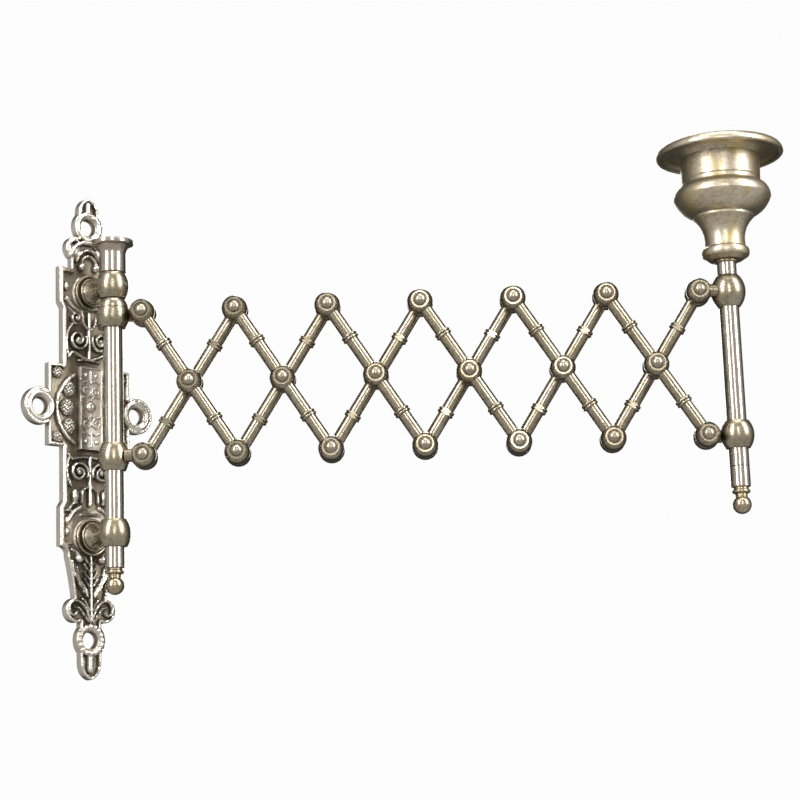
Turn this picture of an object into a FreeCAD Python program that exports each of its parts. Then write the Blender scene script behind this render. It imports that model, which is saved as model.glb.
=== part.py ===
"""Wall sconce candle holder with an extending lattice arm.

Row frame, millimetres: +Z up, +X to the right along the wall, the wall on the +Y side and the room
on the -Y side.  The origin is on the plate's back face, level with the two side screw eyelets.

The arm pieces are modelled in an arm frame whose origin is on the spindle axis, level with the upper
pivots: +X along the arm, +Z up.  The lattice has two layers that meet on the arm frame's XZ plane:
the front layer lies on its -Y side and the rear layer on its +Y side.
"""
import FreeCAD
import Part
import Sketcher
import os
import re
from FreeCAD import Placement, Rotation, Vector

DIMENSIONS = {
    # back plate, half-widths and levels of its outline
    "plate_thickness": (2.8, "cast plate"),
    "recess_depth": (1.5, "sunk fields of the plate"),
    "leaf_top": (72.8, "upper leaf tip, level"),
    "leaf_bottom": (-88.3, "lower leaf tip, level"),
    "leaf_half": (3.9, "leaf half-width"),
    "leaf_length": (5.2, "leaf tip to its widest level"),
    "eyelet_top": (62.6, "upper eyelet, level"),
    "eyelet_bottom": (-75.5, "lower eyelet, level"),
    "eyelet_radius": (5.5, "upper and lower eyelet, outside"),
    "eyelet_neck": (4.0, "half-width where an eyelet joins its neighbours"),
    "ear_offset": (18.9, "side eyelet, distance from the centre line"),
    "ear_radius": (6.2, "side eyelet, outside"),
    "ear_root": (5.4, "half-height of a side eyelet at its root"),
    "screw_hole_radius": (2.6, "screw holes"),
    "countersink_radius": (3.7, "screw hole countersinks"),
    "countersink_depth": (1.1, "screw hole countersinks"),
    "lobe_half": (8.9, "shell lobe half-width"),
    "lobe_level": (55.3, "shell lobe, widest level"),
    "lobe_root": (51.0, "shell lobe, lower end"),
    "neck_half": (6.9, "neck above the upper block"),
    "block_half": (11.6, "half-width of the two blocks"),
    "upper_block_top": (47.7, "upper block"),
    "upper_block_bottom": (35.6, "upper block"),
    "lower_block_top": (-32.6, "lower block"),
    "lower_block_bottom": (-45.4, "lower block"),
    "body_half": (10.4, "plate body half-width"),
    "shoulder_half": (15.9, "square shoulders around the side eyelets"),
    "shoulder_top": (14.7, "upper edge of the shoulders"),
    "shoulder_bottom": (-12.6, "lower edge of the shoulders"),
    "tail_half": (8.8, "upper end of the tapered tail"),
    "tail_top": (-48.5, "upper end of the tapered tail"),
    "waist_half": (6.2, "lower end of the tapered tail"),
    "waist_level": (-62.0, "lower end of the tapered tail"),
    "volute_half": (9.5, "volutes above the lower eyelet"),
    "volute_level": (-65.4, "volutes, widest level"),
    "volute_root": (-69.6, "volutes, lower end"),
    "field_half": (8.2, "sunk fields, half-width"),
    "panel_half": (4.3, "central panel, half-width"),
    "ridge_width": (1.2, "ridges beside the central panel"),
    "field_margin": (1.6, "plain metal between the sunk fields"),
    # brackets and spindle
    "standoff": (16.0, "plate back face to spindle axis"),
    "rosette_radius": (6.1, "wall rosette, outer ring"),
    "rosette_height": (2.4, "wall rosette"),
    "shank_radius": (2.9, "bracket shank"),
    "shank_foot_radius": (4.1, "bracket shank where it meets the rosette"),
    "bracket_radius": (5.3, "bracket balls"),
    "bracket_flat": (4.1, "bracket balls, radius of the flats"),
    "bracket_height": (8.7, "bracket balls, flat to flat"),
    "bracket_top_level": (39.6, "upper bracket ball centre"),
    "bracket_bottom_level": (-42.2, "lower bracket ball centre"),
    "bracket_screw_radius": (2.0, "screws from the back of the plate"),
    "bracket_screw_head": (3.6, "their countersunk heads"),
    "bracket_screw_reach": (9.0, "their depth from the back face"),
    "tube_radius": (3.2, "spindle and candle post, outside"),
    "tube_bore": (2.4, "spindle and candle post, inside"),
    "spindle_bottom": (-53.3, "lower end of the spindle"),
    "cap_radius": (7.05, "spindle cap, milled rim"),
    "cap_body_radius": (4.5, "spindle cap, body"),
    "cap_height": (10.6, "spindle cap"),
    "plug_length": (6.0, "plugs inside the tubes"),
    "pin_radius": (0.7, "lock pin in the upper bracket ball"),
    "pin_bearing": (15.0, "lock pin, degrees from straight out of the wall"),
    # finials
    "finial_waist": (0.8, "finial waist between the tube end and the collar"),
    "finial_collar_radius": (2.95, "finial collar"),
    "finial_collar_height": (1.2, "finial collar"),
    "finial_neck_radius": (1.95, "finial neck"),
    "finial_ball_radius": (3.05, "finial ball"),
    "finial_ball_drop": (5.7, "tube end to ball centre"),
    # lattice
    "lattice_angle": (57.45, "bars to the horizontal at rest, degrees"),
    "bar_pitch": (56.4, "end pivot to end pivot of one bar"),
    "lug_reach": (9.9, "post axis to pivot axis"),
    "rod_radius": (2.1, "bar rod"),
    "layer_depth": (2.4, "mating plane to rod axis"),
    "boss_radius": (4.2, "ball bosses"),
    "face_depth": (5.9, "mating plane to the rivet face of a boss"),
    "face_radius": (2.85, "rivet face of a boss"),
    "face_gap": (0.05, "each layer stays this far from the mating plane"),
    "counterbore_radius": (2.34, "seat of a rivet head"),
    "counterbore_depth": (0.45, "seat of a rivet head"),
    "bead_radius": (2.75, "double ring on each half of a bar"),
    "bead_half_width": (0.5, "one ring of the pair"),
    "bead_position": (0.53, "ring pair, share of the way from centre to end"),
    "rivet_radius": (1.1, "rivet shank"),
    "rivet_head_radius": (1.85, "rivet head"),
    "rivet_head_height": (1.0, "rivet head"),
    "running_gap": (0.05, "radial play of rivets and sliders"),
    "pivot_level": (30.1, "upper pivots in the row frame"),
    "swing_angle": (44.0, "arm to the plate's plane at rest, degrees"),
    # knuckles and sliders
    "upper_knuckle_radius": (5.45, "turning knuckle on the spindle"),
    "upper_knuckle_height": (9.2, "turning knuckle on the spindle"),
    "knuckle_flat": (4.2, "turning knuckle, radius of the flats"),
    "groove_depth": (0.45, "line turned around the upper knuckle"),
    "left_slider_radius": (5.1, "slider on the spindle"),
    "right_slider_radius": (5.4, "slider on the candle post"),
    "slider_height": (8.9, "both sliders"),
    "slider_flat": (3.9, "both sliders, radius of the flats"),
    "post_knuckle_radius": (5.65, "knuckle fixed on the candle post"),
    "post_knuckle_height": (10.6, "knuckle fixed on the candle post"),
    "post_knuckle_flat": (3.6, "knuckle fixed on the candle post, radius of the flats"),
    # candle post and cup
    "cup_level": (10.4, "underside of the cup above the upper pivots"),
    "cup_socket_depth": (4.0, "post tube inside the cup's base"),
    "seam_drop": (57.8, "upper pivots down to the ferrule seam"),
    "post_drop": (64.6, "upper pivots down to the ferrule's end"),
    "seat_radius": (3.9, "washer under the cup"),
    "seat_height": (0.9, "washer under the cup"),
    "base_ring_radius": (7.85, "ring at the foot of the cup"),
    "waist_radius": (6.7, "narrowest part of the cup"),
    "step_radius": (9.9, "cup below the bulb"),
    "bulb_radius": (16.0, "cup bulb"),
    "bulb_level": (21.0, "cup bulb, widest level"),
    "candle_radius": (11.4, "bore for a standard candle"),
    "candle_depth": (20.0, "depth of that bore"),
    "socket_radius": (12.9, "candle socket, outside"),
    "rim_radius": (20.9, "drip rim"),
    "cup_height": (38.5, "foot to the crest of the drip rim"),
}
BAR_COUNT = 6
UPRIGHT = Vector(0, 0, 1)
ALONG = Vector(1, 0, 0)
ACROSS = Vector(0, 1, 0)

doc = FreeCAD.newDocument("lattice_sconce")
sheet = doc.addObject("Spreadsheet::Sheet", "Sizes")
for row, (alias, (value, note)) in enumerate(DIMENSIONS.items(), start=1):
    sheet.set(f"A{row}", note)
    sheet.set(f"B{row}", str(value))
    sheet.setAlias(f"B{row}", alias)
doc.recompute()


def bound(expression):
    """The expression with every sheet alias written as Sizes.alias."""
    names = "|".join(sorted(DIMENSIONS, key=len, reverse=True))
    return re.sub(rf"\b({names})\b", r"Sizes.\1", str(expression))


def size(expression):
    """The present value of an expression of sheet aliases."""
    return float(sheet.evalExpression(bound(expression)))


# ---------------------------------------------------------------- modelling helpers

def new_body(label):
    body = doc.addObject("PartDesign::Body", label)
    body.Label = label
    return body


def new_sketch(body, role, depth="0", turn=None):
    """A sketch on an origin plane, moved along the plane's normal by depth and turned about its Y axis."""
    sketch = body.newObject("Sketcher::SketchObject", "Sketch")
    plane = [item for item in body.Origin.OriginFeatures if item.Role == role][0]
    sketch.AttachmentSupport = (plane, [""])
    sketch.MapMode = "FlatFace"
    sketch.setExpression("AttachmentOffset.Base.z", bound(depth))
    if turn is not None:
        sketch.AttachmentOffset = Placement(Vector(0, 0, size(depth)), Rotation(ACROSS, size(turn)))
    return sketch


def bind_point(sketch, geometry, position, x, y):
    """Fix a sketch point at two expressions, measured from the sketch origin."""
    for kind, expression in (("DistanceX", x), ("DistanceY", y)):
        constraint = Sketcher.Constraint(kind, -1, 1, geometry, position, size(expression))
        index = sketch.addConstraint(constraint)
        sketch.setExpression(f"Constraints[{index}]", bound(expression))


def draw_loop(sketch, corners):
    """A closed loop.  A corner is (x, y), or (x, y, via_x, via_y) when an arc leads to it."""
    points = [Vector(size(corner[0]), size(corner[1]), 0) for corner in corners]
    for index, corner in enumerate(corners):
        start, end = points[index - 1], points[index]
        if len(corner) == 2:
            line = sketch.addGeometry(Part.LineSegment(start, end), False)
            last = (line, 2)
            first = (line, 1)
        else:
            middle = Vector(size(corner[2]), size(corner[3]), 0)
            arc = sketch.addGeometry(Part.Arc(start, middle, end), False)
            forward = sketch.getPoint(arc, 1).distanceToPoint(start) < 1e-4
            first, last = ((arc, 1), (arc, 2)) if forward else ((arc, 2), (arc, 1))
            via = sketch.addGeometry(Part.Point(middle), True)
            bind_point(sketch, via, 1, corner[2], corner[3])
            sketch.addConstraint(Sketcher.Constraint("PointOnObject", via, 1, arc))
        if index == 0:
            loop_start = first
        else:
            sketch.addConstraint(Sketcher.Constraint("Coincident", *previous, *first))
        bind_point(sketch, *last, corner[0], corner[1])
        previous = last
    sketch.addConstraint(Sketcher.Constraint("Coincident", *previous, *loop_start))


def draw_circle(sketch, x, y, radius):
    circle = Part.Circle(Vector(size(x), size(y), 0), Vector(0, 0, 1), size(radius))
    index = sketch.addGeometry(circle, False)
    bind_point(sketch, index, 3, x, y)
    constraint = sketch.addConstraint(Sketcher.Constraint("Radius", index, size(radius)))
    sketch.setExpression(f"Constraints[{constraint}]", bound(radius))


def rectangle(left, right, bottom, top):
    return [(left, bottom), (right, bottom), (right, top), (left, top)]


def revolve(body, role, corners, axis="V_Axis", depth="0"):
    """Turn a closed half-outline about an axis of its own sketch."""
    sketch = new_sketch(body, role, depth)
    draw_loop(sketch, corners)
    turned = body.newObject("PartDesign::Revolution", "Revolution")
    turned.Profile = sketch
    turned.ReferenceAxis = (sketch, [axis])
    turned.Angle = 360
    return turned


def pad(body, sketch, length):
    feature = body.newObject("PartDesign::Pad", "Pad")
    feature.Profile = sketch
    feature.setExpression("Length", bound(length))
    return feature


def pocket(body, sketch, length=None, both_ways=False, forward=False):
    """Cut a sketch into the body: against the sketch's normal, or along it when forward."""
    feature = body.newObject("PartDesign::Pocket", "Pocket")
    feature.Profile = sketch
    feature.Reversed = forward
    if length is None:
        feature.Type = "ThroughAll"
        feature.Midplane = both_ways
    else:
        feature.setExpression("Length", bound(length))
    return feature


def group_node(label, shapes):
    """One node that holds several separate solids."""
    node = doc.addObject("Part::Feature", label)
    node.Label = label
    node.Shape = Part.makeCompound(shapes)
    return node


def row_placement(level="0", out="0"):
    """On the plate's centre line, at a level and a distance out from the wall."""
    return Placement(Vector(0, -size(out), size(level)), Rotation())


ARM = Placement(Vector(0, -size("standoff"), size("pivot_level")), Rotation(UPRIGHT, -size("swing_angle")))


def arm_placement(along="0", level="0", rotation=None):
    """A place in the arm frame, as a placement in the row frame."""
    local = Placement(Vector(size(along), 0, size(level)), rotation or Rotation())
    return ARM.multiply(local)


# ---------------------------------------------------------------- wall side

def mirrored(half):
    """A closed outline from its right half, given from the lower tip to the upper tip."""
    flipped = []
    for index in range(len(half) - 1, 0, -1):
        corner, goal = half[index], half[index - 1]
        if len(corner) == 4:
            flipped.append((f"-({goal[0]})", goal[1], f"-({corner[2]})", corner[3]))
        else:
            flipped.append((f"-({goal[0]})", goal[1]))
    return flipped[-1:] + half[1:] + flipped[:-1]


def plate_outline():
    right = [
        ("0", "leaf_bottom"),
        ("leaf_half", "leaf_bottom + leaf_length", "leaf_half * 0.72", "leaf_bottom + leaf_length * 0.36"),
        ("eyelet_neck", "eyelet_bottom - eyelet_neck"),
        ("eyelet_neck", "eyelet_bottom + eyelet_neck", "eyelet_radius", "eyelet_bottom"),
        ("eyelet_neck", "volute_root"),
        ("waist_half", "waist_level", "volute_half", "volute_level"),
        ("tail_half", "tail_top", "waist_half + 1.1", "(waist_level + tail_top) / 2"),
        ("block_half", "lower_block_bottom", "tail_half + 0.6", "lower_block_bottom - 0.9"),
        ("block_half", "lower_block_top"),
        ("body_half", "lower_block_top + 2"),
        ("body_half", "shoulder_bottom"),
        ("shoulder_half", "shoulder_bottom"),
        ("shoulder_half", "-ear_root"),
        ("shoulder_half", "ear_root", "ear_offset + ear_radius", "0"),
        ("shoulder_half", "shoulder_top"),
        ("body_half", "shoulder_top"),
        ("body_half", "upper_block_bottom - 2"),
        ("block_half", "upper_block_bottom"),
        ("block_half", "upper_block_top"),
        ("neck_half", "upper_block_top"),
        ("neck_half", "lobe_root"),
        ("eyelet_neck", "eyelet_top - eyelet_neck", "lobe_half", "lobe_level"),
        ("eyelet_neck", "eyelet_top + eyelet_neck", "eyelet_radius", "eyelet_top"),
        ("leaf_half", "leaf_top - leaf_length"),
        ("0", "leaf_top", "leaf_half * 0.72", "leaf_top - leaf_length * 0.36"),
    ]
    return mirrored(right)


SCREW_EYELETS = [("0", "eyelet_top"), ("0", "eyelet_bottom"), ("ear_offset", "0"), ("-ear_offset", "0")]
BRACKETS = {"upper": "bracket_top_level", "lower": "bracket_bottom_level"}


def plate_fields():
    """Sunk fields: one above and one below the central panel, the panel, and a strip on each side of it."""
    panel_top = "shoulder_top"
    panel_bottom = "shoulder_bottom"
    strip = "panel_half + ridge_width"
    return [
        rectangle("-field_half", "field_half", f"{panel_top} + field_margin", "upper_block_bottom - 3"),
        rectangle("-field_half", "field_half", "lower_block_top + 3", f"{panel_bottom} - field_margin"),
        rectangle("-panel_half", "panel_half", panel_bottom, panel_top),
        rectangle(strip, "field_half", panel_bottom, panel_top),
        rectangle("-field_half", f"-({strip})", panel_bottom, panel_top),
    ]


def make_plate():
    body = new_body("back_plate")
    outline = new_sketch(body, "XZ_Plane")
    draw_loop(outline, plate_outline())
    pad(body, outline, "plate_thickness")
    for field in plate_fields():
        sketch = new_sketch(body, "XZ_Plane", "plate_thickness")
        draw_loop(sketch, field)
        pocket(body, sketch, "recess_depth")
    holes = new_sketch(body, "XZ_Plane")
    for x, z in SCREW_EYELETS:
        draw_circle(holes, x, z, "screw_hole_radius")
    for level in BRACKETS.values():
        draw_circle(holes, "0", level, "bracket_screw_radius")
    pocket(body, holes, both_ways=True)
    for index, (x, z) in enumerate(SCREW_EYELETS):
        sinker = body.newObject("PartDesign::SubtractiveCone", f"Countersink{index}")
        place_cone(sinker, x, z, "screw_hole_radius", "countersink_radius", "countersink_depth",
                   "plate_thickness - countersink_depth")
    for index, level in enumerate(BRACKETS.values()):
        sinker = body.newObject("PartDesign::SubtractiveCone", f"BackCountersink{index}")
        place_cone(sinker, "0", level, "bracket_screw_head", "bracket_screw_radius",
                   "bracket_screw_head - bracket_screw_radius", "0")
    return body


def place_cone(cone, x, z, first_radius, last_radius, height, start):
    """A cone square to the plate, from start millimetres out from the back face."""
    cone.setExpression("Radius1", bound(first_radius))
    cone.setExpression("Radius2", bound(last_radius))
    cone.setExpression("Height", bound(height))
    cone.Placement = Placement(Vector(size(x), -size(start), size(z)), Rotation(ALONG, 90))


def make_rosette(name, level):
    """Stepped rings around the foot of a bracket shank, turned about Y."""
    body = new_body(f"{name}_rosette")
    step = "rosette_height / 3"
    revolve(body, "XY_Plane", [
        ("bracket_screw_radius", "0"),
        ("rosette_radius", "0"),
        ("rosette_radius", f"-{step}"),
        ("rosette_radius - 1", f"-{step}", "rosette_radius - 0.5", f"-{step} - 0.5"),
        ("rosette_radius - 1.5", f"-{step}"),
        ("rosette_radius - 1.5", f"-2 * {step}"),
        ("shank_foot_radius", f"-2 * {step}", "shank_foot_radius + 0.6", f"-2 * {step} - 0.6"),
        ("shank_foot_radius", "-rosette_height"),
        ("bracket_screw_radius", "-rosette_height"),
    ])
    body.Placement = row_placement(level, "plate_thickness")
    return body


def barrel(radius, flat, height, bore, groove=None):
    """Half-outline of a ball with flat ends and a bore, its centre on the origin.

    A groove is a line turned that far below the centre; under it the ball is a little slimmer.
    """
    lower, upper = f"-{height} / 2", f"{height} / 2"
    corners = [(bore, lower), (flat, lower)]
    if groove is None:
        corners.append((flat, upper, radius, "0"))
    else:
        edge = f"-{groove} - 0.4"
        at_groove = f"{radius} - groove_depth / 2"
        corners += [
            (f"{at_groove} - groove_depth / 2", edge, f"({radius} + {flat}) / 2", f"({edge} + ({lower})) / 2"),
            (f"{at_groove} - groove_depth", edge),
            (f"{at_groove} - groove_depth", f"-{groove}"),
            (at_groove, f"-{groove}"),
            (flat, upper, radius, "0.3"),
        ]
    return corners + [(bore, upper)]


def make_bracket(name, level):
    """Ball around the spindle with a shank that flares to the rosette."""
    body = new_body(f"{name}_bracket")
    revolve(body, "XZ_Plane", barrel("bracket_radius", "bracket_flat", "bracket_height", "tube_radius"))
    foot = "(standoff - plate_thickness - rosette_height)"
    seat = "(standoff - bracket_screw_reach)"
    revolve(body, "XY_Plane", [
        ("0", "tube_radius + 1"),
        ("shank_radius", "tube_radius + 1"),
        ("shank_radius", "bracket_radius"),
        ("shank_foot_radius", foot, "shank_radius + 0.4", f"({foot} + bracket_radius) / 2 + 0.8"),
        ("bracket_screw_radius", foot),
        ("bracket_screw_radius", seat),
        ("0", seat),
    ])
    if name == "upper":
        pin_hole = new_sketch(body, "XZ_Plane", turn="pin_bearing")
        draw_circle(pin_hole, "0", "0", "pin_radius")
        pocket(body, pin_hole, forward=True)
    body.Placement = row_placement(level, "standoff")
    return body


def make_bracket_screws():
    """Countersunk screws from the back of the plate into the bracket shanks."""
    radius, head = size("bracket_screw_radius"), size("bracket_screw_head")
    reach = size("bracket_screw_reach")
    out = Vector(0, -1, 0)
    screws = []
    for level in BRACKETS.values():
        centre = Vector(0, 0, size(level))
        shank = Part.makeCylinder(radius, reach, centre, out)
        cone = Part.makeCone(head, radius, head - radius, centre, out)
        screws.append(shank.fuse(cone).removeSplitter())
    return group_node("bracket_screws", screws)


def make_spindle():
    body = new_body("spindle_tube")
    top = "bracket_top_level + bracket_height / 2"
    revolve(body, "XZ_Plane", rectangle("tube_bore", "tube_radius", "spindle_bottom", top))
    body.Placement = row_placement(out="standoff")
    return body


def make_spindle_cap():
    """Flared cap on the spindle's upper end, with a plug inside the tube."""
    body = new_body("spindle_cap")
    revolve(body, "XZ_Plane", [
        ("0", "-plug_length"),
        ("tube_bore", "-plug_length"),
        ("tube_bore", "0"),
        ("cap_body_radius - 0.2", "0"),
        ("cap_body_radius", "0.2"),
        ("cap_body_radius", "cap_height * 0.6"),
        ("cap_radius - 0.3", "cap_height * 0.87", "cap_body_radius + 0.9", "cap_height * 0.79"),
        ("cap_radius", "cap_height * 0.9"),
        ("cap_radius", "cap_height - 0.3"),
        ("cap_radius - 0.3", "cap_height"),
        ("0", "cap_height"),
    ])
    body.Placement = row_placement("bracket_top_level + bracket_height / 2", "standoff")
    return body


def make_lock_pin():
    """Pin through the upper bracket ball that bears on the spindle."""
    pin = doc.addObject("Part::Cylinder", "lock_pin")
    pin.Label = "lock_pin"
    pin.setExpression("Radius", bound("pin_radius"))
    pin.setExpression("Height", bound("bracket_radius + 0.25 - tube_radius - 0.1"))
    bearing = Rotation(UPRIGHT, size("pin_bearing"))
    outward = bearing.multVec(Vector(0, -1, 0))
    centre = Vector(0, -size("standoff"), size("bracket_top_level"))
    start = centre + outward * size("tube_radius + 0.1")
    pin.Placement = Placement(start, bearing.multiply(Rotation(ALONG, 90)))
    return pin


def make_finial(label, plug):
    """Waist, collar, neck and ball under a tube end; the tube end is at the local origin."""
    body = new_body(label)
    collar = "-finial_waist - finial_collar_height"
    cap = "sqrt(finial_ball_radius ^ 2 - finial_neck_radius ^ 2)"
    revolve(body, "XZ_Plane", [
        ("0", plug),
        ("tube_bore", plug),
        ("tube_bore", "-finial_waist"),
        ("finial_neck_radius", collar, "finial_collar_radius", f"{collar} + finial_collar_height / 2"),
        ("finial_neck_radius", f"-finial_ball_drop + {cap}"),
        ("0", "-finial_ball_drop - finial_ball_radius", "finial_ball_radius", "-finial_ball_drop"),
    ])
    return body


# ---------------------------------------------------------------- arm side

def add_boss_face(body, x):
    """The turned rivet face on the front of a ball boss; the seat for the rivet head takes the ball's crown away."""
    face = new_sketch(body, "XZ_Plane", "layer_depth")
    draw_circle(face, x, "0", "face_radius")
    pad(body, face, "face_depth - layer_depth")
    crown = "layer_depth + boss_radius + 1"
    seat = new_sketch(body, "XZ_Plane", crown)
    draw_circle(seat, x, "0", "counterbore_radius")
    pocket(body, seat, f"{crown} - face_depth + counterbore_depth")


def cut_mating_side(body, left, right):
    """Remove what a boss has beyond the mating plane, less the face gap."""
    half = "boss_radius + 1"
    block = new_sketch(body, "XZ_Plane", "face_gap")
    draw_loop(block, rectangle(left, right, f"-({half})", half))
    pocket(body, block, "2 * boss_radius")


def drill_rivet_holes(body, positions, play):
    holes = new_sketch(body, "XZ_Plane")
    for x in positions:
        draw_circle(holes, x, "0", f"rivet_radius + {play}")
    pocket(body, holes, forward=True)


def bar_outline():
    """Half-outline of a bar about its rod axis: three ball bosses and a double ring on each half."""
    half = "bar_pitch / 2"
    root = "sqrt(boss_radius ^ 2 - rod_radius ^ 2)"

    def ring_pair(centre):
        rise = "bead_radius"
        width = "bead_half_width"
        return [
            (f"{centre} - 2 * {width}", "rod_radius"),
            (centre, "rod_radius", f"{centre} - {width}", rise),
            (f"{centre} + 2 * {width}", "rod_radius", f"{centre} + {width}", rise),
        ]

    ring = f"bead_position * {half}"
    corners = [(f"-{half} - boss_radius", "0")]
    corners.append((f"-{half} + {root}", "rod_radius", f"-{half}", "boss_radius"))
    corners += ring_pair(f"(-{ring})")
    corners.append((f"-{root}", "rod_radius"))
    corners.append((root, "rod_radius", "0", "boss_radius"))
    corners += ring_pair(f"({ring})")
    corners.append((f"{half} - {root}", "rod_radius"))
    corners.append((f"{half} + boss_radius", "0", half, "boss_radius"))
    return corners


def make_bar(label, layer, index):
    """One bar.  Its own frame has the middle pivot at the origin and the bar along X, front layer side -Y."""
    body = new_body(label)
    revolve(body, "XZ_Plane", bar_outline(), axis="H_Axis", depth="layer_depth")
    half = "bar_pitch / 2"
    pivots = [f"-{half}", "0", half]
    for pivot in pivots:
        add_boss_face(body, pivot)
    cut_mating_side(body, f"-{half} - boss_radius - 1", f"{half} + boss_radius + 1")
    drill_rivet_holes(body, pivots, "0" if layer == "front" else "running_gap")
    step = "bar_pitch * cos(lattice_angle)"
    if layer == "front":
        tilt = Rotation(ACROSS, size("lattice_angle"))
    else:
        tilt = Rotation(ACROSS, -size("lattice_angle")).multiply(Rotation(ALONG, 180))
    middle = f"lug_reach + ({index} - 0.5) * {step}"
    body.Placement = arm_placement(middle, "-bar_pitch / 2 * sin(lattice_angle)", tilt)
    return body


def make_knuckle(label, name, height, bore, groove=None):
    """A ball on a post with a lug.  Own frame: post axis Z, lug towards +X, front layer side -Y."""
    body = new_body(label)
    radius = f"{label}_radius"
    revolve(body, "XZ_Plane", barrel(radius, f"{name}_flat", height, bore, groove))
    root = "sqrt(boss_radius ^ 2 - rod_radius ^ 2)"
    revolve(body, "XZ_Plane", [
        ("tube_radius + 0.8", "0"),
        ("tube_radius + 0.8", "rod_radius"),
        (f"lug_reach - {root}", "rod_radius"),
        ("lug_reach + boss_radius", "0", "lug_reach", "boss_radius"),
    ], axis="H_Axis", depth="layer_depth")
    add_boss_face(body, "lug_reach")
    cut_mating_side(body, f"{radius} + 0.3", "lug_reach + boss_radius + 1")
    drill_rivet_holes(body, ["lug_reach"], "running_gap")
    return body


def make_rivets(label, pivots):
    """Rivets through both layers at (along, level) places of the arm frame, heads on both faces."""
    radius = size("rivet_radius")
    floor = size("face_depth - counterbore_depth")
    head, rise = size("rivet_head_radius"), size("rivet_head_height")
    gap = size("face_gap")
    dome_radius = (head * head + rise * rise) / (2 * rise)
    shapes = []
    for along, level in pivots:
        start = Vector(size(along), -floor, size(level))
        shank = Part.makeCylinder(radius, 2 * floor + gap, start, ACROSS)
        front = rivet_head(start, Vector(0, -1, 0), head, rise, dome_radius)
        rear_seat = start + ACROSS * (2 * floor + gap)
        rear = rivet_head(rear_seat, ACROSS, head, rise, dome_radius)
        shapes.append(shank.fuse([front, rear]).removeSplitter())
    node = group_node(label, shapes)
    node.Placement = ARM
    return node


def rivet_head(seat, outward, radius, rise, dome_radius):
    """A domed head on its seat: a low drum under a slice of a sphere."""
    drum_height = size("counterbore_depth")
    drum = Part.makeCylinder(radius, drum_height, seat, outward)
    centre = seat + outward * (drum_height + rise - dome_radius)
    ball = Part.makeSphere(dome_radius, centre)
    keep = Part.makeCylinder(radius, drum_height + rise, seat, outward)
    return drum.fuse(ball.common(keep))


def make_post_tube():
    body = new_body("post_tube")
    top = "cup_level + cup_socket_depth"
    revolve(body, "XZ_Plane", rectangle("tube_bore", "tube_radius", "-seam_drop", top))
    return body


def make_post_ferrule():
    """Lower section of the candle post, below the seam, with eased ends."""
    body = new_body("post_ferrule")
    revolve(body, "XZ_Plane", [
        ("tube_bore", "-post_drop"),
        ("tube_radius - 0.2", "-post_drop"),
        ("tube_radius", "-post_drop + 0.2"),
        ("tube_radius", "-seam_drop - 0.25"),
        ("tube_radius - 0.25", "-seam_drop"),
        ("tube_bore", "-seam_drop"),
    ])
    return body


def make_cup_seat():
    body = new_body("cup_seat")
    revolve(body, "XZ_Plane", [
        ("tube_radius", "cup_level - seat_height"),
        ("seat_radius - 0.3", "cup_level - seat_height"),
        ("seat_radius", "cup_level - seat_height + 0.3"),
        ("seat_radius", "cup_level"),
        ("tube_radius", "cup_level"),
    ])
    return body


def make_cup():
    """Turned candle cup; its foot is on the local origin and its candle bore opens upwards."""
    body = new_body("candle_cup")
    floor = "cup_height - 1.2 - candle_depth"
    revolve(body, "XZ_Plane", [
        ("0", "cup_socket_depth"),
        ("tube_radius", "cup_socket_depth"),
        ("tube_radius", "0"),
        ("base_ring_radius - 2.3", "0"),
        ("base_ring_radius - 0.3", "1.3"),
        ("base_ring_radius - 0.3", "3.7", "base_ring_radius", "2.5"),
        ("waist_radius + 0.1", "4.4"),
        ("step_radius", "14.2", "waist_radius + 0.25", "9.4"),
        ("step_radius + 0.1", "14.9"),
        ("bulb_radius", "bulb_level", "bulb_radius - 2.5", "17"),
        ("socket_radius + 0.7", "25.4", "bulb_radius - 0.7", "bulb_level + 2.6"),
        ("socket_radius - 0.2", "25.8"),
        ("socket_radius - 0.2", "26.9"),
        ("socket_radius", "27.3"),
        ("socket_radius + 0.2", "cup_height - 3.8"),
        ("rim_radius - 3.4", "cup_height - 1.5", "socket_radius + 1.5", "cup_height - 2.2"),
        ("rim_radius - 1.4", "cup_height - 3", "rim_radius - 2.1", "cup_height - 1.9"),
        ("rim_radius", "cup_height - 2.3", "rim_radius - 0.45", "cup_height - 3.3"),
        ("rim_radius - 3", "cup_height", "rim_radius - 0.9", "cup_height - 0.6"),
        ("candle_radius", "cup_height - 1.2", "(rim_radius + candle_radius) / 2 - 1.5", "cup_height - 0.2"),
        ("candle_radius", floor),
        ("0", floor),
    ])
    return body


def post_axis():
    """Distance from the spindle axis to the candle post axis at rest."""
    return f"2 * lug_reach + {BAR_COUNT} * bar_pitch * cos(lattice_angle)"


def pivot(row, number):
    """A lattice pivot as (along, level): rows top, middle and bottom, numbered from the wall."""
    step = "bar_pitch * cos(lattice_angle)"
    drop = "bar_pitch * sin(lattice_angle)"
    if row == "middle":
        return (f"lug_reach + ({number} - 0.5) * {step}", f"-{drop} / 2")
    return (f"lug_reach + ({number} - 1) * {step}", "0" if row == "top" else f"-{drop}")


def build_wall_side():
    nodes = [make_plate()]
    for name, level in BRACKETS.items():
        nodes.append(make_rosette(name, level))
        nodes.append(make_bracket(name, level))
    finial = make_finial("spindle_finial", "plug_length")
    finial.Placement = row_placement("spindle_bottom", "standoff")
    nodes += [make_bracket_screws(), make_spindle(), make_spindle_cap(), make_lock_pin(), finial]
    return nodes


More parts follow.
